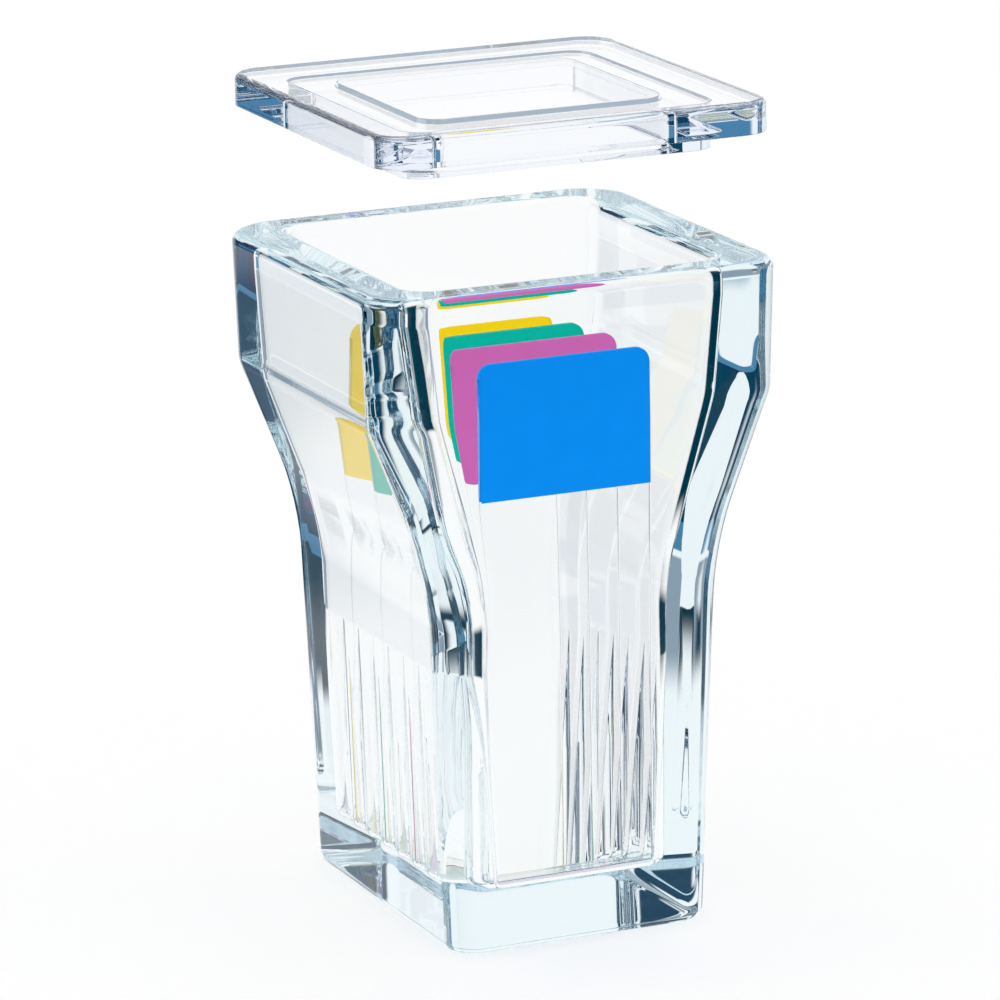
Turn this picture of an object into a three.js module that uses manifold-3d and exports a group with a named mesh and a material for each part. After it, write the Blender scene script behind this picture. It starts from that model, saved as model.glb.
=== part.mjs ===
// A slide staining jar of pressed glass. Its side walls carry grooves for microscope slides
// and flare out to a wide mouth, a glass lid is held just above it, and four slides with
// coloured ends stand in every second groove.
// Millimetres, +Z up, origin at the centre of the jar's base. X runs across the slides' faces
// and Y runs from the front slide to the back one.

import * as THREE from 'three';
import { LoftGeometry } from 'three/addons/geometries/LoftGeometry.js';
import { mergeVertices } from 'three/addons/utils/BufferGeometryUtils.js';
import Module from 'manifold-3d';

// Microscope slides
const slideLength = 76;
const slideWidth = 26;
const slideThickness = 1;
const slideCornerRadius = 1.4;
const slideEndLength = 20;        // the coloured end, from its top down
const inkEdge = 0.05;             // height over which the colour stops
const slideInks = [
  { name: 'slide_blue', ink: 0x0087e8 },
  { name: 'slide_pink', ink: 0xc862ae },
  { name: 'slide_green', ink: 0x00b39e },
  { name: 'slide_yellow', ink: 0xf2cc30 },
];

// Grooves in the two side walls
const groovesPerSlide = 2;
const groovePitch = 5.4;
const grooveRadius = 1.9;
const grooveFootRadius = 0.4;
const grooveSideGap = 1.4;        // from a slide's edge to the bottom of its groove
const ridgeProud = 2;             // how far the wall between grooves stands out at the floor
const ridgeTopHeight = 40;        // where the grooves have run out
const wallRelief = 0.2;           // how far the plain wall above lies behind the grooves

// Cavity
const floorThickness = 8.5;
const floorRadius = 1.1;
const cavityWidthSpread = 2.1;    // how much wider, per side, the mouth is than the floor
const cavityFlare = 7.4;          // how far each side wall steps out over the flare
const cavityFlareLead = 4.3;      // how far below the outside's flare the hollow's own begins
const cavityMouthDraft = 2;       // how far each side wall steps out from there to the mouth
const lidSeatDepth = 5;           // below the rim, over which the side walls are upright
const cavityLowerCorner = 2;
const cavityUpperCorner = 3.5;

// Jar outside
const jarHeight = 96;
const flareStartHeight = 55.5;
const flareEndHeight = 77;
const flareBend = 4;              // half the height over which the wall bends at each end
const sideWallBase = 5.5;
const sideWallFlareStart = 7.4;
const sideWallFlareEnd = 8.5;
const endWallBase = 4.8;
const endWallUpper = 6.3;
const sideRimWall = 7.2;
const endRimWall = 6.1;
const baseCorner = 4.3;
const waistCorner = 6;
const shoulderCorner = 6.8;
const rimCorner = 7.1;
const baseEdgeRadius = 1.8;
const rimEdgeRadius = 1.6;
const rimInnerRadius = 1.5;

// Lid
const lidLift = 18;               // from the rim to the lid's plate
const lidThickness = 4.6;
const lidCoverSide = 5.7;         // how far the plate covers the rim at each side
const lidCoverEnd = 5.3;          // and at the front and back
const lidCorner = 5;
const lidEdgeRadius = 0.9;
const plugDepth = 2.8;
const plugSideGap = 0.4;          // between the plug and the mouth, at each side
const plugEndGap = 1;             // and at the front and back
const plugSideWall = 5.1;
const plugEndWall = 5.6;
const lidHollowDepth = 4.8;       // from under the plug, up into the plate
const plugCorner = 3.5;
const plugEdgeRadius = 0.6;

// Colours
const jarGlassColour = 0xdde8ee;
const lidGlassColour = 0xe2ebf4;
const slideGlassColour = 0xe6f0ee;
const glassRoughness = 0.04;
const glassOpacity = 0.35;
const inkRoughness = 0.3;

// Mesh fineness
const cornerSteps = 4;
const edgeSteps = 3;
const bendSteps = 4;
const grooveSides = 16;
const cutMargin = 1;

const grooveCount = slideInks.length * groovesPerSlide;
const grooveHalf = slideWidth / 2 + grooveSideGap;
const plainWallHalf = grooveHalf + wallRelief;
const floorHalfWidth = grooveCount * groovePitch / 2;
const mouthHalfLength = plainWallHalf + cavityFlare + cavityMouthDraft;
const mouthHalfWidth = floorHalfWidth + cavityWidthSpread;
const cavityFlareStartHeight = flareStartHeight - cavityFlareLead;
const lidSeatHeight = jarHeight - lidSeatDepth;

const wasm = await Module();
wasm.setup();

// A closed geometry as a solid that can be joined and cut.
function toSolid(geometry) {
  geometry.deleteAttribute('normal');
  geometry.deleteAttribute('uv');
  const merged = mergeVertices(geometry);
  return new wasm.Manifold(new wasm.Mesh({
    numProp: 3,
    vertProperties: merged.attributes.position.array,
    triVerts: new Uint32Array(merged.index.array),
  }));
}

function toGeometry(solid) {
  const { vertProperties, triVerts } = solid.getMesh();
  const geometry = new THREE.BufferGeometry();
  geometry.setAttribute('position', new THREE.BufferAttribute(vertProperties, 3));
  geometry.setIndex(new THREE.BufferAttribute(triVerts, 1));
  return geometry;
}

// Value at height z on a line through [height, value] points, level beyond its ends.
function valueAt(z, points) {
  if (z <= points[0][0]) return points[0][1];
  for (let i = 1; i < points.length; i++) {
    const [lowZ, low] = points[i - 1];
    const [highZ, high] = points[i];
    if (z <= highZ) return THREE.MathUtils.mapLinear(z, lowZ, highZ, low, high);
  }
  return points.at(-1)[1];
}

// The same line with its corner at height bendZ eased over reach to each side.
function easedValueAt(z, points, bendZ, reach) {
  const t = (z - bendZ + reach) / (2 * reach);
  if (t <= 0 || t >= 1) return valueAt(z, points);
  const before = valueAt(bendZ - reach, points);
  const corner = valueAt(bendZ, points);
  const after = valueAt(bendZ + reach, points);
  return (1 - t) ** 2 * before + 2 * t * (1 - t) * corner + t ** 2 * after;
}

// Heights at which a section is needed to follow both bends of a flare that begins at startZ.
function flareHeights(startZ) {
  const heights = [];
  for (const bendZ of [startZ, flareEndHeight]) {
    for (let i = 0; i <= bendSteps; i++) {
      heights.push(bendZ + flareBend * (2 * i / bendSteps - 1));
    }
  }
  return heights;
}

function flaredValueAt(z, startZ, points) {
  const bendZ = z < (startZ + flareEndHeight) / 2 ? startZ : flareEndHeight;
  return easedValueAt(z, points, bendZ, flareBend);
}

// Rounded rectangle at height z, counterclockwise from above.
function roundedSection(halfX, halfY, radius, z) {
  const points = [];
  const quarters = [[1, 1], [-1, 1], [-1, -1], [1, -1]];
  quarters.forEach(([sideX, sideY], quarter) => {
    for (let i = 0; i <= cornerSteps; i++) {
      const angle = (quarter + i / cornerSteps) * Math.PI / 2;
      points.push(new THREE.Vector3(
        sideX * (halfX - radius) + radius * Math.cos(angle),
        sideY * (halfY - radius) + radius * Math.sin(angle),
        z,
      ));
    }
  });
  return points;
}

function loft(sections) {
  const geometry = new LoftGeometry(sections, { closed: true, capStart: true, capEnd: true });
  return new THREE.BufferGeometry().copy(geometry);
}

// Steps round a quarter circle: how far in from the side and from the end face each one lies.
function edgeRound(radius) {
  return Array.from({ length: edgeSteps + 1 }, (unused, i) => {
    const angle = i / edgeSteps * Math.PI / 2;
    return { inset: radius * (1 - Math.sin(angle)), rise: radius * (1 - Math.cos(angle)) };
  });
}

// Half sizes of the hollow at height z, before its grooves are cut.
function cavitySize(z) {
  const halfX = flaredValueAt(z, cavityFlareStartHeight, [
    [floorThickness, grooveHalf - ridgeProud],
    [ridgeTopHeight, plainWallHalf],
    [cavityFlareStartHeight, plainWallHalf],
    [flareEndHeight, plainWallHalf + cavityFlare],
    [lidSeatHeight, mouthHalfLength],
    [jarHeight, mouthHalfLength],
  ]);
  const halfY = valueAt(z, [[floorThickness, floorHalfWidth], [jarHeight, mouthHalfWidth]]);
  const radius = valueAt(z, [
    [cavityFlareStartHeight, cavityLowerCorner],
    [flareEndHeight, cavityUpperCorner],
  ]);
  return { halfX, halfY, radius };
}

// Half sizes of the jar's outside at height z.
function outerSize(z) {
  const halfX = flaredValueAt(z, flareStartHeight, [
    [0, grooveHalf + sideWallBase],
    [flareStartHeight, plainWallHalf + sideWallFlareStart],
    [flareEndHeight, plainWallHalf + cavityFlare + sideWallFlareEnd],
    [jarHeight, mouthHalfLength + sideRimWall],
  ]);
  const shoulderHalfY = cavitySize(flareEndHeight).halfY + endWallUpper;
  const halfY = valueAt(z, [
    [0, floorHalfWidth + endWallBase],
    [flareEndHeight, shoulderHalfY],
    [jarHeight, mouthHalfWidth + endRimWall],
  ]);
  const radius = valueAt(z, [
    [0, baseCorner],
    [flareStartHeight, waistCorner],
    [flareEndHeight, shoulderCorner],
    [jarHeight, rimCorner],
  ]);
  return { halfX, halfY, radius };
}

// Section of a size function at height z, drawn in by inset (drawn out where it is negative).
function insetSection(size, z, inset) {
  const { halfX, halfY, radius } = size(z);
  return roundedSection(halfX - inset, halfY - inset, radius - inset, z);
}

function jarOutside() {
  const foot = edgeRound(baseEdgeRadius)
    .map(({ inset, rise }) => insetSection(outerSize, rise, inset));
  const flare = flareHeights(flareStartHeight).map((z) => insetSection(outerSize, z, 0));
  const rim = edgeRound(rimEdgeRadius).reverse()
    .map(({ inset, rise }) => insetSection(outerSize, jarHeight - rise, inset));
  return toSolid(loft([...foot, ...flare, ...rim]));
}

function jarCavity() {
  const floor = edgeRound(floorRadius)
    .map(({ inset, rise }) => insetSection(cavitySize, floorThickness + rise, inset));
  const ridgeTop = insetSection(cavitySize, ridgeTopHeight, 0);
  const flare = flareHeights(cavityFlareStartHeight).map((z) => insetSection(cavitySize, z, 0));
  const seat = insetSection(cavitySize, lidSeatHeight, 0);
  const mouth = edgeRound(rimInnerRadius).reverse()
    .map(({ inset, rise }) => insetSection(cavitySize, jarHeight - rise, -inset));
  const above = mouth.at(-1).map((point) => point.clone().setZ(jarHeight + cutMargin));
  return toSolid(loft([...floor, ridgeTop, ...flare, seat, ...mouth, above]));
}

// A round-footed upright cutter whose far side makes the bottom of one groove.
function grooveCutter(x, y) {
  const foot = edgeRound(grooveFootRadius)
    .map(({ inset, rise }) => new THREE.Vector2(grooveRadius - inset, floorThickness + rise));
  const top = ridgeTopHeight + cutMargin;
  const profile = [
    new THREE.Vector2(0, floorThickness),
    ...foot,
    new THREE.Vector2(grooveRadius, top),
    new THREE.Vector2(0, top),
  ];
  return toSolid(new THREE.LatheGeometry(profile, grooveSides).rotateX(Math.PI / 2).translate(x, y, 0));
}

function grooveY(index) {
  return (index - (grooveCount - 1) / 2) * groovePitch;
}

function jarGeometry() {
  let jar = jarOutside().subtract(jarCavity());
  for (const side of [-1, 1]) {
    for (let i = 0; i < grooveCount; i++) {
      jar = jar.subtract(grooveCutter(side * (grooveHalf - grooveRadius), grooveY(i)));
    }
  }
  return toGeometry(jar);
}

// A flat slab with rounded corners and edges, from z = bottom to z = top.
function slab(halfX, halfY, corner, bottom, top, bottomEdge, topEdge) {
  const lower = edgeRound(bottomEdge).map(({ inset, rise }) => (
    roundedSection(halfX - inset, halfY - inset, corner - inset, bottom + rise)));
  const upper = edgeRound(topEdge).reverse().map(({ inset, rise }) => (
    roundedSection(halfX - inset, halfY - inset, corner - inset, top - rise)));
  return toSolid(loft([...lower, ...upper]));
}

// The lid's plate has a raised frame under it that drops into the jar's mouth.
function lidGeometry() {
  const plateHalfX = mouthHalfLength + lidCoverSide;
  const plateHalfY = mouthHalfWidth + lidCoverEnd;
  const plugHalfX = mouthHalfLength - plugSideGap;
  const plugHalfY = mouthHalfWidth - plugEndGap;
  const plate = slab(
    plateHalfX, plateHalfY, lidCorner, 0, lidThickness, plugEdgeRadius, lidEdgeRadius);
  const plug = slab(
    plugHalfX, plugHalfY, plugCorner, -plugDepth, lidThickness / 2, plugEdgeRadius, plugEdgeRadius);
  const hollow = slab(
    plugHalfX - plugSideWall, plugHalfY - plugEndWall, plugCorner,
    -plugDepth - cutMargin, lidHollowDepth - plugDepth, plugEdgeRadius, plugEdgeRadius);
  return toGeometry(plate.add(plug).subtract(hollow));
}

// One slide, standing on z = 0, with the corners of its top end rounded.
function slideGeometry(ink) {
  const section = (z, inset) => {
    const halfX = slideWidth / 2 - inset;
    const halfY = slideThickness / 2;
    return [[halfX, -halfY], [halfX, halfY], [-halfX, halfY], [-halfX, -halfY]]
      .map(([x, y]) => new THREE.Vector3(x, y, z));
  };
  const inkStart = slideLength - slideEndLength;
  const topEnd = edgeRound(slideCornerRadius).reverse()
    .map(({ inset, rise }) => section(slideLength - rise, inset));
  const geometry = loft([section(0, 0), section(inkStart - inkEdge, 0), section(inkStart, 0), ...topEnd]);
  return colourSlideEnd(geometry, inkStart, new THREE.Color(ink));
}

// Glass below the given height and ink above it, as vertex colours.
function colourSlideEnd(geometry, inkStart, ink) {
  const { position } = geometry.attributes;
  const glass = new THREE.Color(slideGlassColour);
  const colours = new Float32Array(position.count * 3);
  for (let i = 0; i < position.count; i++) {
    const colour = position.getZ(i) < inkStart - inkEdge / 2 ? glass : ink;
    colour.toArray(colours, i * 3);
  }
  geometry.setAttribute('color', new THREE.BufferAttribute(colours, 3));
  return geometry;
}

function glassMaterial(color) {
  return new THREE.MeshStandardMaterial({
    color, roughness: glassRoughness, metalness: 0, transparent: true, opacity: glassOpacity,
  });
}

function slideMaterial() {
  return new THREE.MeshStandardMaterial({ vertexColors: true, roughness: inkRoughness, metalness: 0 });
}

function mesh(name, geometry, material) {
  const piece = new THREE.Mesh(geometry, material);
  piece.name = name;
  return piece;
}

const jar = new THREE.Group();

jar.add(mesh('jar', jarGeometry(), glassMaterial(jarGlassColour)));

const lid = mesh('lid', lidGeometry(), glassMaterial(lidGlassColour));
lid.position.z = jarHeight + lidLift;
jar.add(lid);

slideInks.forEach(({ name, ink }, index) => {
  const slide = mesh(name, slideGeometry(ink), slideMaterial());
  slide.position.set(0, grooveY(index * groovesPerSlide), floorThickness);
  jar.add(slide);
});

export default jar;
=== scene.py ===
# A slide staining jar of pressed glass. Its lid is lifted off, and four slides with coloured ends
# stand in it.
import math
import bpy
import numpy as np
from mathutils import Matrix, Vector


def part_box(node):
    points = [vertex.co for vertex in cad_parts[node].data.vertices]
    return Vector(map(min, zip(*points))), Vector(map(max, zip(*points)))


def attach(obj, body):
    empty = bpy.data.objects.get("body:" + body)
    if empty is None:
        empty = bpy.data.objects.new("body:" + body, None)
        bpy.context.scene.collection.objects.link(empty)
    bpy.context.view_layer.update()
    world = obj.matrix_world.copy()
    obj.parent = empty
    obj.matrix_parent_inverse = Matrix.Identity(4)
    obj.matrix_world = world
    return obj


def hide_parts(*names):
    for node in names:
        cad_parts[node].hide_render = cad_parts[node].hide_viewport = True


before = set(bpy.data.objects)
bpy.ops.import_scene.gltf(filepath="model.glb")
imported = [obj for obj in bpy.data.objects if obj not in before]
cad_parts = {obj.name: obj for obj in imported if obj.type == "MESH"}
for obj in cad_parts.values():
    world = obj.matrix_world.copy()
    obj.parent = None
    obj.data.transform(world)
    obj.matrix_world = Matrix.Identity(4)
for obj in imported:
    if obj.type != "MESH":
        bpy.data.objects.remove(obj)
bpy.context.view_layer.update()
perMetre = 1000.0    # the shapes below are worked out in millimetres
white = (1.0, 1.0, 1.0)


def nodeBox(node):    # lowest and highest corner of a node, in mm
    return [np.array(corner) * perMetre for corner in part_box(node)]


# Rings up or down a wall. A corner of the chain is a list of six: half x, half y, corner x,
# corner y, height, bend. The first five are a rounded rectangle at that height, and the last is how
# far from it the bend starts. Each bend is a quarter of an ellipse that leaves along one leg and
# arrives along the next, and the straight legs get a ring close to each bend, so that they shade
# flat.
def bentChain(corners, bendSteps, supportGap, legStep):
    corners = np.array(corners, float)
    sections, bends = corners[:, :5], corners[:, 5]
    rows = [sections[:1]]
    for i in range(1, len(sections)):
        toHere = sections[i] - sections[i - 1]
        legEnd = sections[i] - toHere / np.hypot(toHere[0], toHere[4]) * bends[i]
        leg = legEnd - rows[-1][-1]
        run = np.hypot(leg[0], leg[4])
        gap = min(supportGap / run, 0.4)
        between = np.linspace(gap, 1 - gap, max(2, int(run / legStep) + 1))
        rows.append(rows[-1][-1] + between[:, None] * leg)
        rows.append(legEnd[None])
        if bends[i] > 0:
            onward = sections[i + 1] - sections[i]
            onLeg = onward / np.hypot(onward[0], onward[4]) * bends[i]
            turn = np.linspace(0, math.pi / 2, bendSteps + 1)[1:, None]
            leaving = (legEnd - sections[i]) * (1 - np.sin(turn))
            rows.append(sections[i] + leaving + onLeg * (1 - np.cos(turn)))
    return np.concatenate(rows)


# Once round a rounded rectangle, counterclockwise from above. A point is a share of the straight
# part's half sizes plus a share of the corner's size, which is the cosine or sine of its turn.
def perimeter(longShares, crossShares, cornerSteps):
    turn = np.linspace(0, math.pi / 2, cornerSteps + 1)
    near, far = np.cos(turn), np.sin(turn)
    rows = []
    for signX, signY in ((1, 1), (-1, 1), (-1, -1), (1, -1)):
        if signX == signY:    # the side walls run along Y, then the corner turns to the end wall
            wholeX, still = np.full(len(longShares), signX), np.zeros(len(longShares))
            side = [wholeX, longShares * signY, wholeX, still]
            turnX, turnY = near, far
        else:
            wholeY, still = np.full(len(crossShares), signY), np.zeros(len(crossShares))
            side = [crossShares * signX, wholeY, still, wholeY]
            turnX, turnY = far, near
        cornerX, cornerY = np.full(len(turn), signX), np.full(len(turn), signY)
        rows.append(np.array(side))
        rows.append(np.array([cornerX, cornerY, signX * turnX, signY * turnY]))
    return np.concatenate(rows, axis=1)


# The points of rounded rectangles: each perimeter point's shares of the straight part's half sizes
# and of the corner's size, added up, at the rectangle's height.
def ringPoints(sections, around):
    halfX, halfY, cornerX, cornerY, height = [sections[:, i, None] for i in range(5)]
    shareX, shareY, bulgeX, bulgeY = around
    x = shareX * (halfX - cornerX) + bulgeX * cornerX
    y = shareY * (halfY - cornerY) + bulgeY * cornerY
    return np.stack([x, y, height + 0 * x])


# A closed skin over rings of points: quads join each ring to the next, and a flat face closes the
# first ring and the last.
def skin(name, points):
    rings, around = points.shape[1:]
    here = np.arange(around)
    there = np.roll(here, -1)
    ring = (np.arange(rings - 1) * around)[:, None]
    quads = [ring + here, ring + there, ring + around + there, ring + around + here]
    quads = np.stack(quads, axis=-1)
    loops = np.concatenate([quads.ravel(), here[::-1], (rings - 1) * around + here])
    quadCount = (rings - 1) * around
    starts = np.append(np.arange(quadCount + 1) * 4, quadCount * 4 + around)
    mesh = bpy.data.meshes.new(name)
    mesh.vertices.add(rings * around)
    mesh.vertices.foreach_set("co", (points / perMetre).reshape(3, -1).T.astype(np.float32).ravel())
    mesh.loops.add(len(loops))
    mesh.loops.foreach_set("vertex_index", loops.astype(np.int32))
    mesh.polygons.add(len(starts))
    mesh.polygons.foreach_set("loop_start", starts.astype(np.int32))
    mesh.polygons.foreach_set("use_smooth", np.ones(len(starts), bool))
    mesh.update(calc_edges=True)
    mesh.validate()
    piece = bpy.data.objects.new(name, mesh)
    bpy.context.scene.collection.objects.link(piece)
    return piece


def newMaterial(name):
    material = bpy.data.materials.new(name)
    material.use_nodes = True
    material.node_tree.nodes.clear()
    return material, material.node_tree.nodes, material.node_tree.links


def addNode(nodes, kind, **values):
    node = nodes.new(kind)
    for key, value in values.items():
        setattr(node, key, value)
    return node


def mathNode(nodes, links, operation, first, second):
    node = addNode(nodes, "ShaderNodeMath", operation=operation)
    for socket, value in zip(node.inputs, (first, second)):
        if isinstance(value, (int, float)):
            socket.default_value = value
        else:
            links.new(value, socket)
    return node.outputs[0]


# Two noises on the piece's own coordinates: the slow one plus the fine one times its share. Pressed
# glass uses the sum as its unevenness, and the printed ends use it as the ink's mottle.
def twoNoises():
    group = bpy.data.node_groups.new("slowAndFineNoise", "ShaderNodeTree")
    for label in ("Slow Scale", "Fine Scale", "Fine Share"):
        group.interface.new_socket(label, in_out="INPUT", socket_type="NodeSocketFloat")
    group.interface.new_socket("Value", in_out="OUTPUT", socket_type="NodeSocketFloat")
    nodes, links = group.nodes, group.links
    inputs, outputs = nodes.new("NodeGroupInput"), nodes.new("NodeGroupOutput")
    place = nodes.new("ShaderNodeTexCoord")
    noises = []
    for scale in ("Slow Scale", "Fine Scale"):
        noise = nodes.new("ShaderNodeTexNoise")
        noise.inputs["Detail"].default_value = 0.0
        links.new(place.outputs["Object"], noise.inputs["Vector"])
        links.new(inputs.outputs[scale], noise.inputs["Scale"])
        noises.append(noise.outputs["Fac"])
    fine = mathNode(nodes, links, "MULTIPLY", noises[1], inputs.outputs["Fine Share"])
    links.new(mathNode(nodes, links, "ADD", noises[0], fine), outputs.inputs["Value"])
    return group


slowAndFine = twoNoises()


def placeNoises(nodes, slowScale, fineScale, fineShare):
    noises = addNode(nodes, "ShaderNodeGroup", node_tree=slowAndFine)
    noises.inputs["Slow Scale"].default_value = slowScale
    noises.inputs["Fine Scale"].default_value = fineScale
    noises.inputs["Fine Share"].default_value = fineShare
    return noises.outputs["Value"]


def bumped(nodes, links, height, distance):    # a normal from a height in mm
    bump = nodes.new("ShaderNodeBump")
    bump.inputs["Strength"].default_value = 1.0
    bump.inputs["Distance"].default_value = distance / perMetre
    links.new(height, bump.inputs["Height"])
    return bump.outputs["Normal"]


# Clear glass with a tint inside it, and slow waves and a fine peel on its skin.
def glassMaterial(name, look):
    material, nodes, links = newMaterial(name)
    output = nodes.new("ShaderNodeOutputMaterial")
    glass = nodes.new("ShaderNodeBsdfPrincipled")
    glass.inputs["Base Color"].default_value = (*look["tint"], 1)
    glass.inputs["Roughness"].default_value = look["roughness"]
    glass.inputs["IOR"].default_value = look["ior"]
    glass.inputs["Specular Tint"].default_value = (look["shine"],) * 3 + (1,)
    glass.inputs["Transmission Weight"].default_value = 1.0
    waves = placeNoises(nodes, look["waveScale"], look["peelScale"], look["peelShare"])
    links.new(bumped(nodes, links, waves, look["waveHeight"]), glass.inputs["Normal"])
    links.new(glass.outputs[0], output.inputs["Surface"])
    body = nodes.new("ShaderNodeVolumeAbsorption")
    body.inputs["Color"].default_value = (*look["body"], 1)
    body.inputs["Density"].default_value = look["density"]
    links.new(body.outputs[0], output.inputs["Volume"])
    return material


inkLook = {
    "roughness": 0.42, "mottledRoughness": 0.12, "specular": 0.05, "mottle": 0.05,
    "slowScale": 300.0, "fineScale": 2500.0, "fineShare": 0.6, "grain": 0.004,
}


# Matt ink whose colour and roughness vary a little with the noises, round their mean.
def inkMaterial(name, colour):
    k = inkLook
    material, nodes, links = newMaterial(name)
    output = nodes.new("ShaderNodeOutputMaterial")
    ink = nodes.new("ShaderNodeBsdfPrincipled")
    ink.inputs["Specular IOR Level"].default_value = k["specular"]
    noises = placeNoises(nodes, k["slowScale"], k["fineScale"], k["fineShare"])
    noiseMean = 0.5 * (1 + k["fineShare"])
    around = mathNode(nodes, links, "SUBTRACT", noises, noiseMean)
    shade = addNode(nodes, "ShaderNodeHueSaturation")
    shade.inputs["Color"].default_value = (*colour, 1)
    change = mathNode(nodes, links, "MULTIPLY", around, k["mottle"])
    links.new(mathNode(nodes, links, "ADD", change, 1.0), shade.inputs["Value"])
    links.new(shade.outputs[0], ink.inputs["Base Color"])
    rough = mathNode(nodes, links, "MULTIPLY", around, k["mottledRoughness"])
    links.new(mathNode(nodes, links, "ADD", rough, k["roughness"]), ink.inputs["Roughness"])
    links.new(bumped(nodes, links, noises, k["grain"]), ink.inputs["Normal"])
    links.new(ink.outputs[0], output.inputs["Surface"])
    return material


def finishPiece(piece, node, slot, *materials):
    for material in materials:
        piece.data.materials.append(material)
    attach(piece, "root")
    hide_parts(node)


jarShape = {
    # outside, from the bottom up: half x, half y, corner
    "footInset": 6.0, "footInsetCorner": 1.0,     # the bottom's flat middle, in from the foot
    "foot": (19.9, 26.4, 4.3),
    "waist": (22.0, 28.53, 6.0),
    "shoulder": (30.5, 29.55, 6.8),
    "rimCorner": 7.1,
    "footRound": 1.8,
    "rimOuterRound": 1.6,
    "waistBend": 7.0,
    "shoulderBend": 0.8,
    "waistHeight": 55.5,
    "shoulderHeight": 77.0,
    # hollow, from the mouth down: half x, half y, corner x, corner y
    "mouth": (23.4, 23.7, 4.0, 4.0),
    "hollowShoulder": (22.2, 23.24, 4.0, 4.0),
    "hollowWaist": (14.6, 22.62, 3.2, 3.2),
    "grooveTop": (14.6, 22.36, 2.6, 2.8),
    "grooveMiddle": (13.7, 22.02, 1.2, 1.2),
    "wallFoot": (12.52, 21.64, 0.6, 0.6),
    "rimInnerRound": 1.5,
    "seatHeight": 91.0,        # above it the hollow is upright
    "hollowShoulderBend": 0.8,
    "hollowWaistBend": 5.0,
    "hollowWaistHeight": 51.2,
    "grooveTopHeight": 40.0,
    "grooveMiddleHeight": 26.0,
    "floorTop": 8.5,
    "floorRoundIn": 1.1,
    "floorRoundUp": 1.7,
    # grooves in the side walls
    "grooveCount": 8,
    "groovePitch": 5.4,
    "grooveRadius": 1.9,
    "grooveBottom": 14.4,      # half the distance between facing grooves
    "grooveEdge": 0.3,         # round along both edges of a groove
    "grooveTip": 0.45,         # half width of the crease that is left where a groove runs out
    "grooveFoot": 0.26,        # how small the groove's section gets in the floor's round
}
jarMesh = {
    "cornerSteps": 14, "arcSteps": 14, "edgeSteps": 5, "crossSteps": 14, "bendSteps": 6,
    "arcShare": 0.6, "sideReach": 0.985, "crossReach": 0.97, "supportGap": 0.3, "legStep": 5.0,
    "floorSteps": 8,
}


# The two chains that bentChain follows: up the outside to the middle of the rim, and from there
# down the hollow to the floor's round.
def jarChains():
    s = jarShape
    rimX, rimY, top = nodeBox("jar")[1]
    rimCorner, inset, insetCorner = s["rimCorner"], s["footInset"], s["footInsetCorner"]
    crestX, crestY = (rimX + s["mouth"][0]) / 2, (rimY + s["mouth"][1]) / 2
    crest = [crestX, crestY, rimCorner, rimCorner, top, 0]
    outside = [[s["foot"][0] - inset, s["foot"][1] - inset, insetCorner, insetCorner, 0, 0]]
    for name, height, bend in (("foot", 0, s["footRound"]),
                               ("waist", s["waistHeight"], s["waistBend"]),
                               ("shoulder", s["shoulderHeight"], s["shoulderBend"])):
        halfX, halfY, corner = s[name]
        outside.append([halfX, halfY, corner, corner, height, bend])
    outside.append([rimX, rimY, rimCorner, rimCorner, top, s["rimOuterRound"]])
    outside.append(crest)
    inside = [crest,
              [*s["mouth"], top, s["rimInnerRound"]],
              [*s["mouth"], s["seatHeight"], 0],
              [*s["hollowShoulder"], s["shoulderHeight"], s["hollowShoulderBend"]],
              [*s["hollowWaist"], s["hollowWaistHeight"], s["hollowWaistBend"]],
              [*s["grooveTop"], s["grooveTopHeight"], 0],
              [*s["grooveMiddle"], s["grooveMiddleHeight"], 0],
              [*s["wallFoot"], s["floorTop"] + s["floorRoundUp"], 0]]
    return outside, inside


# Across one groove, w runs from -1 to 1: the middle part is the groove's own arc, and the outer
# parts are small rounds from the arc to the crest between two grooves. Both shrink to a point as
# the crest reaches the groove's bottom.
def grooveSection(crest, w):
    s, arcShare = jarShape, jarMesh["arcShare"]
    radius, edge = s["grooveRadius"], s["grooveEdge"]
    centre = s["grooveBottom"] - radius
    cosine = np.clip((crest + edge - centre) / (radius + edge), 0, 1)
    reach = np.arccos(cosine)
    size = np.abs(w)
    angle = reach * size / arcShare
    turn = reach * (1 - size) / (1 - arcShare)
    inArc = size <= arcShare
    crestY = (radius + edge) * np.sin(reach)
    x = np.where(inArc, centre + radius * np.cos(angle), crest + edge - edge * np.cos(turn))
    y = np.where(inArc, radius * np.sin(angle), crestY - edge * np.sin(turn))
    x = np.maximum(np.where(cosine < 1, x, crest), crest)
    return x, y * np.sign(w) + w * s["grooveTip"] * (1 - np.sin(reach)) ** 2


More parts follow.
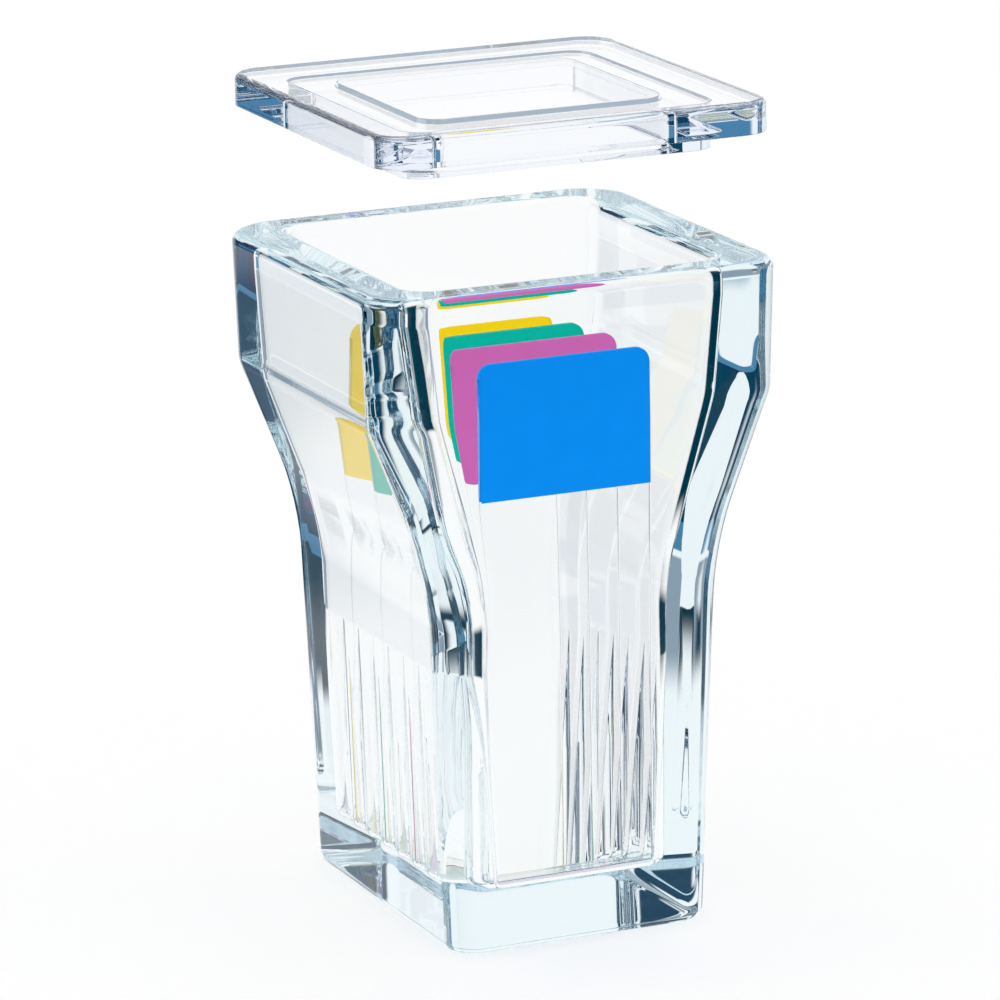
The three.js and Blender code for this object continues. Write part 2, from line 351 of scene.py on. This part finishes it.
# The floor's round under every point of the wall: a quarter ellipse inwards. Under a groove it ends
# at a small copy of the groove's own section, which makes the groove's foot a spoon.
def floorRound(wall, around, sides, grooveW, grooveY):
    s, m = jarShape, jarMesh
    low = np.array([[*s["wallFoot"], s["floorTop"]]])
    low[0, :2] -= s["floorRoundIn"]
    inner = ringPoints(low, around)[:, 0].copy()
    centre = s["grooveBottom"] - s["grooveRadius"]
    for points, sign, order in sides:
        edgeShare = (np.abs(grooveW[::order]) - m["arcShare"]) / (1 - m["arcShare"])
        blend = np.clip(edgeShare, 0, 1)
        blend = blend * blend * (3 - 2 * blend)    # smooth step, from the arc out to the crest
        middle = grooveY[::order]
        spoonX = sign * (centre + (np.abs(wall[0, points]) - centre) * s["grooveFoot"])
        spoonY = middle + (wall[1, points] - middle) * s["grooveFoot"]
        inner[0, points] = spoonX + (inner[0, points] - spoonX) * blend
        inner[1, points] = spoonY + (wall[1, points] - spoonY) * blend
    turn = np.linspace(math.pi / 2, 0, m["floorSteps"] + 1)[1:, None]
    x, y = [inner[i] + (wall[i] - inner[i]) * np.sin(turn) for i in (0, 1)]
    z = s["floorTop"] + s["floorRoundUp"] * (1 - np.cos(turn)) + 0 * x
    return np.stack([x, y, z])


# The rings of both chains. Where a ring of the hollow passes the grooves, its side points take the
# grooves' section, so the side walls have a fixed number of points per groove. The second side
# runs the other way round, after the first side, two corners and an end wall.
def makeJar():
    s, m = jarShape, jarMesh
    edge = np.linspace(m["arcShare"], 1, m["edgeSteps"] + 1)[1:]
    w = np.concatenate([-edge[::-1], np.linspace(-1, 1, m["arcSteps"] + 1) * m["arcShare"], edge])
    middles = (np.arange(s["grooveCount"]) - (s["grooveCount"] - 1) / 2) * s["groovePitch"]
    grooveW, grooveY = np.tile(w, len(middles)), np.repeat(middles, len(w))
    longShares = np.linspace(-1, 1, len(grooveW)) * m["sideReach"]
    crossShares = np.linspace(-1, 1, m["crossSteps"]) * m["crossReach"]
    first = np.arange(len(grooveW))
    second = first + len(grooveW) + 2 * (m["cornerSteps"] + 1) + m["crossSteps"]
    sides = ((first, 1, 1), (second, -1, -1))

    outside, inside = [bentChain(chain, m["bendSteps"], m["supportGap"], m["legStep"])
                       for chain in jarChains()]
    around = perimeter(longShares, crossShares, m["cornerSteps"])
    outer = ringPoints(outside, around)
    inner = ringPoints(inside[1:], around)
    for points, sign, order in sides:
        grooveX, offset = grooveSection(inside[1:, :1], grooveW[None, ::order])
        inner[0][:, points] = sign * grooveX
        inner[1][:, points] = grooveY[None, ::order] + offset
    floor = floorRound(inner[:, -1], around, sides, grooveW, grooveY)
    return skin("glass_jar", np.concatenate([outer, inner, floor], axis=1))


jarLook = {
    "tint": white, "roughness": 0.0, "ior": 1.52,
    "body": (0.25, 0.7, 0.85), "density": 4.0,    # the tint of thick glass, and how soon it shows
    "waveScale": 45.0, "peelScale": 500.0, "peelShare": 0.004,
    "waveHeight": 0.006,       # mm
    "shine": 0.3,              # share of the mirror image that is kept where one looks straight in
}
finishPiece(makeJar(), "jar", "jar_glass", glassMaterial("jarGlass", jarLook))
print("jar made")


lidShape = {
    "corner": 5.0, "topRound": 0.9, "lowerRound": 0.15,
    "plug": (23.6, 22.7, 3.5), "plugDepth": 2.8,
    "recess": (18.5, 17.1, 3.5), "recessDepth": 4.8, "recessRound": 0.2,
}
lidMesh = {
    "cornerSteps": 12, "sideSteps": 20, "bendSteps": 6, "reach": 0.97, "supportGap": 0.25,
    "legStep": 4.0, "capInset": 2.5,
}


# From the hollow's ceiling down its wall, under the plug, up to the plate and over its edge.
def makeLid():
    s, m = lidShape, lidMesh
    low, high = nodeBox("lid")
    plate = (high[0], high[1], s["corner"])
    under = low[2] + s["plugDepth"]
    levels = [
        (s["recess"], low[2] + s["recessDepth"], s["recessRound"]),
        (s["recess"], low[2], s["recessRound"]),
        (s["plug"], low[2], s["lowerRound"]),
        (s["plug"], under, s["lowerRound"]),
        (plate, under, s["lowerRound"]),
        (plate, high[2], s["topRound"]),
    ]
    corners = [[halfX, halfY, corner, corner, z, bend]
               for (halfX, halfY, corner), z, bend in levels]
    caps = []
    for halfX, halfY, corner, _, z, _ in (corners[0], corners[-1]):
        size = corner - m["capInset"]
        caps.append([halfX - m["capInset"], halfY - m["capInset"], size, size, z, 0])
    shares = np.linspace(-1, 1, m["sideSteps"]) * m["reach"]
    chain = bentChain([caps[0], *corners, caps[1]], m["bendSteps"], m["supportGap"], m["legStep"])
    return skin("glass_lid", ringPoints(chain, perimeter(shares, shares, m["cornerSteps"])))


lidLook = {
    "tint": (0.985, 0.99, 1.0), "roughness": 0.0, "ior": 1.52,
    "body": (0.35, 0.6, 1.0), "density": 3.5,
    "waveScale": 45.0, "peelScale": 500.0, "peelShare": 0.01, "waveHeight": 0.01, "shine": 0.3,
}
finishPiece(makeLid(), "lid", "lid_glass", glassMaterial("lidGlass", lidLook))
print("lid made")


slideShape = {
    "corner": 1.9, "edge": 0.12,
    "inkLength": 20.0,         # from a full slide's top down to the ink's foot
    "firstInkLevel": 3,        # levels below it stay clear
}
slideMesh = {"cornerSteps": 8, "middleSteps": 4, "capSteps": 6}
slideEnds = {    # colour of the printed end, and how much shorter than a full slide it is cut
    "blue": {"ink": 0x0090F4, "cut": 0.6},
    "pink": {"ink": 0xD068B4, "cut": 1.0},
    "green": {"ink": 0x00B8A2, "cut": 1.9},
    "yellow": {"ink": 0xFCD810, "cut": 2.7},
}


# A slide is rings in the Y-Z plane, from one long edge to the other. Each ring runs up the front
# and down the back, and ends at the top outline: level in the middle, and a quarter circle down at
# both corners. The ink lies on the quads between two levels, on the front and on the back.
def makeSlide(node, cut):
    s, m = slideShape, slideMesh
    low, high = nodeBox(node)
    halfX, halfY = high[0], (high[1] - low[1]) / 2
    turn = np.linspace(0, math.pi / 2, m["cornerSteps"] + 1)
    cornerX = halfX - s["corner"] + s["corner"] * np.sin(turn)
    middle = np.linspace(-1, 1, m["middleSteps"] + 1) * (halfX - s["corner"])
    columnX = np.concatenate([-cornerX[:0:-1], middle, cornerX[1:]])
    down = s["corner"] * (1 - np.cos(turn))
    drop = np.concatenate([down[:0:-1], 0 * middle, down[1:]])
    top, inkFoot = high[2] - cut, high[2] - s["inkLength"]
    levels = [(low[2], 0, s["edge"]), (low[2] + s["edge"], 0, 0), (inkFoot - s["edge"], 0, 0)]
    levels += [(inkFoot, 0, 0), (top - s["edge"], 1, 0), (top, 1, s["edge"])]
    heights = [z - drop * follows for z, follows, _ in levels]
    depths = [halfY - thin + 0 * drop for _, _, thin in levels]
    z = np.stack(heights + heights[::-1], axis=1)
    y = np.stack([-depth for depth in depths] + depths[::-1], axis=1) + (high[1] + low[1]) / 2
    x = columnX[:, None] + 0 * z
    piece = skin("glass_" + node, np.stack([x, y, z])[:, ::-1])
    level = np.arange(len(piece.data.polygons)) % (2 * len(levels))
    inked = (level >= s["firstInkLevel"]) & (level < 2 * len(levels) - s["firstInkLevel"] - 1)
    inked[-2:] = False    # the two long edges
    piece.data.polygons.foreach_set("material_index", inked.astype(np.int32))
    return piece


# A screen colour as linear light, by the sRGB curve.
def linear(hexColour):
    channels = np.array([hexColour >> 16 & 255, hexColour >> 8 & 255, hexColour & 255]) / 255
    curve = ((channels + 0.055) / 1.055) ** 2.4
    return tuple(np.where(channels <= 0.04045, channels / 12.92, curve))


slideLook = {
    "tint": white, "roughness": 0.0, "ior": 1.2,
    "body": (0.4, 0.8, 0.9), "density": 2.0,
    "waveScale": 45.0, "peelScale": 500.0, "peelShare": 0.01, "waveHeight": 0.002, "shine": 0.3,
}
slideGlass = glassMaterial("slideGlass", slideLook)
for colour, end in slideEnds.items():
    node = "slide_" + colour
    piece = makeSlide(node, end["cut"])
    ink = inkMaterial(colour + "Ink", linear(end["ink"]))
    finishPiece(piece, node, node + "_end", slideGlass, ink)
    piece.visible_diffuse = False    # the ends don't shade each other from the studio's light
print("slides made")


studio = {
    "floorSize": 6.0,                  # metres
    "floorDrop": 0.0002,               # metres, so that the jar's foot and the floor share no plane
    "floorAlbedo": 0.45,               # the floor's own colour. The rest of its white is glow
    "backAzimuth": 23.93,              # degrees from +Y towards +X, where the backdrop's middle is
    # sectors in degrees off that middle: where one starts, is full, starts to end, has ended
    "whiteTable": (-40.0, -34.0, 24.0, 34.0),
    "paleTable": (-66.0, -60.0, -40.0, -34.0),
    "darkStrip": (-40.0, -36.0, 30.0, 36.0),
    "whiteRoom": (-64.0, -58.0, 24.0, 34.0),
    "whiteBackdrop": (-44.0, -38.0, 36.0, 46.0),
    "whiteFlag": (-128.0, -118.0, -68.0, -60.0),
    # metres from the jar's middle, from one tone of the floor to the next
    "nearFloor": (0.14, 0.18),         # white all round, then the table
    "stripStart": (0.13, 0.17), "stripEnd": (0.22, 0.195),    # a dark strip across the table
    "tableEnd": (0.38, 0.42), "roomEnd": (0.48, 0.52),
    "topEdge": (0.45, 0.85),           # upward share of a direction, from the sides to the top
    "paleFloor": (0.3, 0.37, 0.44), "darkFloor": (0.0, 0.035, 0.06),
    "darkRoom": (0.08, 0.24, 0.4), "darkSide": (0.003, 0.05, 0.1), "paleTop": (0.93, 0.96, 1.0),
}


def smoothStep(nodes, links, value, low, high):
    step = addNode(nodes, "ShaderNodeMapRange", interpolation_type="SMOOTHSTEP")
    links.new(value, step.inputs["Value"])
    step.inputs["From Min"].default_value = low
    step.inputs["From Max"].default_value = high
    return step.outputs["Result"]


def mixColours(nodes, links, share, first, second):
    mix = addNode(nodes, "ShaderNodeMix", data_type="RGBA")
    colours = {socket.identifier: socket for socket in mix.inputs}
    links.new(share, mix.inputs["Factor"])
    for identifier, value in (("A_Color", first), ("B_Color", second)):
        if isinstance(value, tuple):
            colours[identifier].default_value = (*value, 1)
        else:
            links.new(value, colours[identifier])
    return next(socket for socket in mix.outputs if socket.identifier == "Result_Color")


# 1 for rays that have been reflected in the glass. They see a studio with a white backdrop and dark
# sides, which draws the edges of the glass. All others see plain white all round.
def reflectedRays(nodes, links):
    path = nodes.new("ShaderNodeLightPath")
    reflected = mathNode(nodes, links, "GREATER_THAN", path.outputs["Glossy Depth"], 0.5)
    undiffused = mathNode(nodes, links, "LESS_THAN", path.outputs["Diffuse Depth"], 0.5)
    return mathNode(nodes, links, "MULTIPLY", reflected, undiffused)


# How much a direction or a place is in a sector: the share rises from 0 to 1 between the first two
# edges and falls back between the last two, by the level angle off the backdrop's middle.
def inSector(nodes, links, vector, edges):
    turned = addNode(nodes, "ShaderNodeVectorRotate", rotation_type="Z_AXIS")
    turned.inputs["Angle"].default_value = math.radians(studio["backAzimuth"])
    links.new(vector, turned.inputs["Vector"])
    parts = nodes.new("ShaderNodeSeparateXYZ")
    links.new(turned.outputs[0], parts.inputs[0])
    angle = mathNode(nodes, links, "ARCTAN2", parts.outputs["X"], parts.outputs["Y"])
    starts, full, fades, ended = [math.radians(edge) for edge in edges]
    rise = smoothStep(nodes, links, angle, starts, full)
    fall = smoothStep(nodes, links, angle, ended, fades)
    return mathNode(nodes, links, "MULTIPLY", rise, fall)


# The plain surface for most rays and the studio's for reflected ones, into the output.
def joinByRay(nodes, links, plain, seen, output):
    mix = nodes.new("ShaderNodeMixShader")
    links.new(reflectedRays(nodes, links), mix.inputs[0])
    links.new(plain.outputs[0], mix.inputs[1])
    links.new(seen.outputs[0], mix.inputs[2])
    links.new(mix.outputs[0], output.inputs["Surface"])


# What reflected rays see of the floor, from the jar outwards: white, then the table with its white
# and pale sectors and the dark strip across it, then the near room, then the far room.
def floorTones(nodes, links):
    place = nodes.new("ShaderNodeTexCoord").outputs["Object"]
    distance = addNode(nodes, "ShaderNodeVectorMath", operation="LENGTH")
    links.new(place, distance.inputs[0])

    def beyond(edge):
        return smoothStep(nodes, links, distance.outputs["Value"], *studio[edge])

    def sector(name):
        return inSector(nodes, links, place, studio[name])

    strip = mathNode(nodes, links, "MULTIPLY", beyond("stripStart"), beyond("stripEnd"))
    strip = mathNode(nodes, links, "MULTIPLY", strip, sector("darkStrip"))
    lit = mathNode(nodes, links, "SUBTRACT", sector("whiteTable"), strip)
    pale = mixColours(nodes, links, sector("paleTable"), studio["darkFloor"], studio["paleFloor"])
    table = mixColours(nodes, links, lit, pale, white)
    nearby = mixColours(nodes, links, beyond("nearFloor"), white, table)
    nearRoom = mixColours(nodes, links, sector("whiteRoom"), studio["darkFloor"], white)
    farRoom = mixColours(nodes, links, sector("whiteBackdrop"), studio["darkRoom"], white)
    room = mixColours(nodes, links, beyond("roomEnd"), nearRoom, farRoom)
    return mixColours(nodes, links, beyond("tableEnd"), nearby, room)


def makeFloor():
    half = studio["floorSize"] / 2
    corners = [(-half, -half, 0), (half, -half, 0), (half, half, 0), (-half, half, 0)]
    mesh = bpy.data.meshes.new("floor")
    mesh.from_pydata(corners, [], [(0, 1, 2, 3)])
    floor = bpy.data.objects.new("floor", mesh)
    bpy.context.scene.collection.objects.link(floor)
    floor.location.z = -studio["floorDrop"]
    material, nodes, links = newMaterial("floorPaper")
    output = nodes.new("ShaderNodeOutputMaterial")
    paper = nodes.new("ShaderNodeBsdfDiffuse")
    paper.inputs["Color"].default_value = (studio["floorAlbedo"],) * 3 + (1,)
    glow = nodes.new("ShaderNodeEmission")
    glow.inputs["Strength"].default_value = 1 - studio["floorAlbedo"]
    plain = nodes.new("ShaderNodeAddShader")
    links.new(paper.outputs[0], plain.inputs[0])
    links.new(glow.outputs[0], plain.inputs[1])
    seen = nodes.new("ShaderNodeEmission")
    links.new(floorTones(nodes, links), seen.inputs["Color"])
    joinByRay(nodes, links, plain, seen, output)
    mesh.materials.append(material)


# Reflected rays see a white backdrop and a white flag at the left, dark sides and a pale top.
def makeWorld():
    world = bpy.data.worlds.new("studio")
    bpy.context.scene.world = world
    world.use_nodes = True
    nodes, links = world.node_tree.nodes, world.node_tree.links
    nodes.clear()
    output = nodes.new("ShaderNodeOutputWorld")
    plain, seen = nodes.new("ShaderNodeBackground"), nodes.new("ShaderNodeBackground")
    plain.inputs["Color"].default_value = (*white, 1)
    place = nodes.new("ShaderNodeTexCoord").outputs["Generated"]
    parts = nodes.new("ShaderNodeSeparateXYZ")
    links.new(place, parts.inputs[0])
    height = smoothStep(nodes, links, parts.outputs["Z"], *studio["topEdge"])
    backdrop = inSector(nodes, links, place, studio["whiteBackdrop"])
    flag = inSector(nodes, links, place, studio["whiteFlag"])
    lit = mathNode(nodes, links, "MAXIMUM", backdrop, flag)
    side = mixColours(nodes, links, lit, studio["darkSide"], white)
    links.new(mixColours(nodes, links, height, side, studio["paleTop"]), seen.inputs["Color"])
    joinByRay(nodes, links, plain, seen, output)


cameraView = {
    "azimuth": -23.93, "elevation": 14.608, "roll": -0.872,    # degrees
    "distance": 0.91973, "aim": (0.0004, 0.00204, 0.05776),    # metres
    "lens": 231.29, "sensor": 36.0,                            # mm
    "nearest": 0.05, "farthest": 50.0,                         # metres that the camera sees
}


def makeCamera():
    v = cameraView
    turn, rise = math.radians(v["azimuth"]), math.radians(v["elevation"])
    level = math.cos(rise)
    back = Vector((math.sin(turn) * level, -math.cos(turn) * level, math.sin(rise)))
    data = bpy.data.cameras.new("camera")
    data.lens, data.sensor_width = v["lens"], v["sensor"]
    data.clip_start, data.clip_end = v["nearest"], v["farthest"]
    camera = bpy.data.objects.new("camera", data)
    bpy.context.scene.collection.objects.link(camera)
    camera.location = Vector(v["aim"]) + back * v["distance"]
    upright = (-back).to_track_quat("-Z", "Y").to_matrix()
    camera.rotation_euler = (upright @ Matrix.Rotation(math.radians(v["roll"]), 3, "Z")).to_euler()
    bpy.context.scene.camera = camera


glassRays = {"bounces": 32, "mirrorBounces": 24, "blur": 0.0}    # thick clear glass needs many


makeFloor()
makeWorld()
makeCamera()
scene = bpy.context.scene
scene.view_settings.view_transform = "Standard"
scene.cycles.max_bounces = glassRays["bounces"]
scene.cycles.transmission_bounces = glassRays["bounces"]
scene.cycles.glossy_bounces = glassRays["mirrorBounces"]
scene.cycles.blur_glossy = glassRays["blur"]
print("floor, light and camera made")
